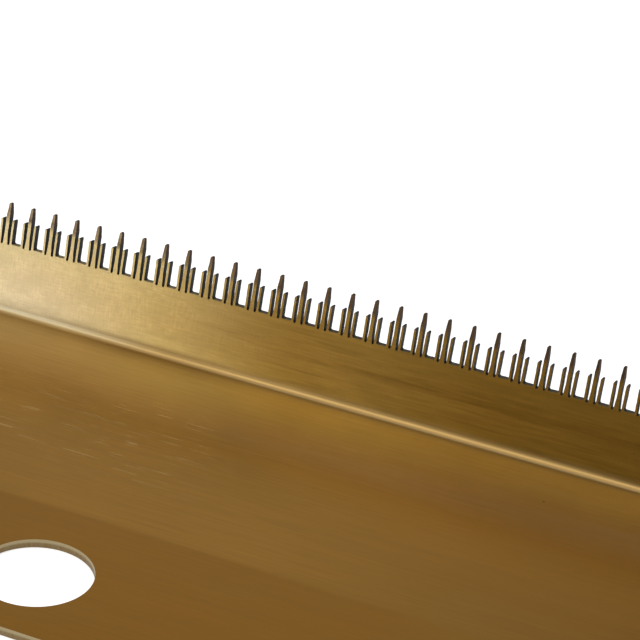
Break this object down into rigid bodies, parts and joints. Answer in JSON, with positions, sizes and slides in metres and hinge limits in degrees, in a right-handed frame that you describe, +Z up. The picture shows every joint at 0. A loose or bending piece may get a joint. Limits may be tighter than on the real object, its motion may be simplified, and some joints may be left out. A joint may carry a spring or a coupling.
{
  "type": "noodle machine comb",
  "caption": "Folded brass sheet with a flat mounting plate and a standing flange cut into forked teeth, which strips noodle strands off cutting rollers.",
  "frame": {"origin": "bottom centre of the comb's box, under the plate", "axes": "+X along the row of teeth, +Y from the plate's free edge towards the flange, +Z up, along the standing teeth"},
  "size_m": [0.18, 0.0614, 0.0143],
  "materials": {
    "brushed_brass": "brushed along the length, satin"
  },
  "bodies": {
    "root": {"comb_plate": "brushed_brass"}
  },
  "joints": []
}
